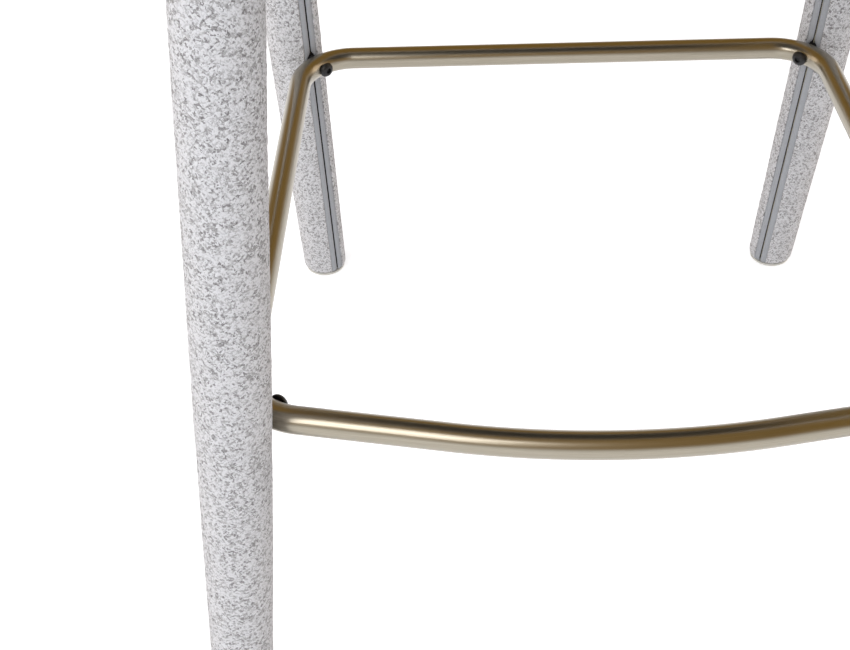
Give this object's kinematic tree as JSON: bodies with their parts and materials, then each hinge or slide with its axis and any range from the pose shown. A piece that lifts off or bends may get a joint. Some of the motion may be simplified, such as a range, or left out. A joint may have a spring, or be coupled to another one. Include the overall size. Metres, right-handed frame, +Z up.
{
  "type": "bar stool with footrest",
  "caption": "Upholstered counter stool with padded, zipped fabric legs and a bent bronze tube footrest bolted inside the legs.",
  "frame": {"origin": "centre of the stool's footprint box, on the floor", "axes": "+Z up, the front of the stool faces -Y, +X to the right seen from the front"},
  "size_m": [0.4912, 0.4982, 0.9585],
  "materials": {
    "frame_steel": "black powder coat",
    "black_plastic": "moulded",
    "pale_nylon": "moulded",
    "foam": "open-cell foam",
    "tweed": "light grey flecked tweed",
    "tweed_piping": "tweed over cord",
    "zip_tape": "woven grey tape",
    "zip_coil": "black coil",
    "zip_metal": "gunmetal",
    "bronze_tube": "satin bronze",
    "black_hardware": "black oxide",
    "zinc_hardware": "zinc plated",
    "plywood": "birch plywood",
    "black_nonwoven": "spun non-woven"
  },
  "bodies": {
    "stool": {"front_leg_tube_left": "frame_steel", "front_leg_tube_right": "frame_steel", "front_leg_plug_left": "black_plastic", "front_leg_plug_right": "black_plastic", "front_glide_left": "pale_nylon", "front_glide_right": "pale_nylon", "front_leg_foam_left": "foam", "front_leg_foam_right": "foam", "front_leg_sleeve_left": "tweed", "front_leg_sleeve_right": "tweed", "front_zip_tapes_left": "zip_tape", "front_zip_tapes_right": "zip_tape", "front_zip_coil_left": "zip_coil", "front_zip_coil_right": "zip_coil", "rear_leg_tube_left": "frame_steel", "rear_leg_tube_right": "frame_steel", "rear_leg_plug_left": "black_plastic", "rear_leg_plug_right": "black_plastic", "rear_glide_left": "pale_nylon", "rear_glide_right": "pale_nylon", "rear_leg_foam_left": "foam", "rear_leg_foam_right": "foam", "rear_leg_sleeve_left": "tweed", "rear_leg_sleeve_right": "tweed", "rear_zip_tapes_left": "zip_tape", "rear_zip_tapes_right": "zip_tape", "rear_zip_coil_left": "zip_coil", "rear_zip_coil_right": "zip_coil", "footrest_tube": "bronze_tube", "footrest_bolts": "black_hardware", "footrest_spacers": "black_plastic", "footrest_rivet_nuts": "zinc_hardware", "seat_rail_front": "frame_steel", "seat_rail_rear": "frame_steel", "seat_rail_left": "frame_steel", "seat_rail_right": "frame_steel", "seat_gussets": "frame_steel", "seat_board": "plywood", "seat_tee_nuts": "zinc_hardware", "seat_screws": "zinc_hardware", "seat_foam": "foam", "seat_cover": "tweed", "seat_piping": "tweed_piping", "dust_cover": "black_nonwoven", "dust_cover_staples": "zinc_hardware", "back_top_rail": "frame_steel", "back_lower_rail": "frame_steel", "back_foam": "foam", "back_cover": "tweed", "back_piping": "tweed_piping"},
    "front_slider_left": {"front_zip_slider_left": "zip_metal"},
    "rear_slider_left": {"rear_zip_slider_left": "zip_metal"},
    "front_slider_right": {"front_zip_slider_right": "zip_metal"},
    "rear_slider_right": {"rear_zip_slider_right": "zip_metal"}
  },
  "joints": [
    {"name": "front_zip_slide_left", "type": "slide", "parent": "stool", "child": "front_slider_left", "axis": [-0.087, -0.0591, -0.9945], "range_m": [0, 0.31]},
    {"name": "rear_zip_slide_left", "type": "slide", "parent": "stool", "child": "rear_slider_left", "axis": [0.014, 0, -0.9999], "range_m": [0, 0.28]},
    {"name": "front_zip_slide_right", "type": "slide", "parent": "stool", "child": "front_slider_right", "axis": [0.087, -0.0591, -0.9945], "range_m": [0, 0.31]},
    {"name": "rear_zip_slide_right", "type": "slide", "parent": "stool", "child": "rear_slider_right", "axis": [-0.014, 0, -0.9999], "range_m": [0, 0.28]}
  ]
}
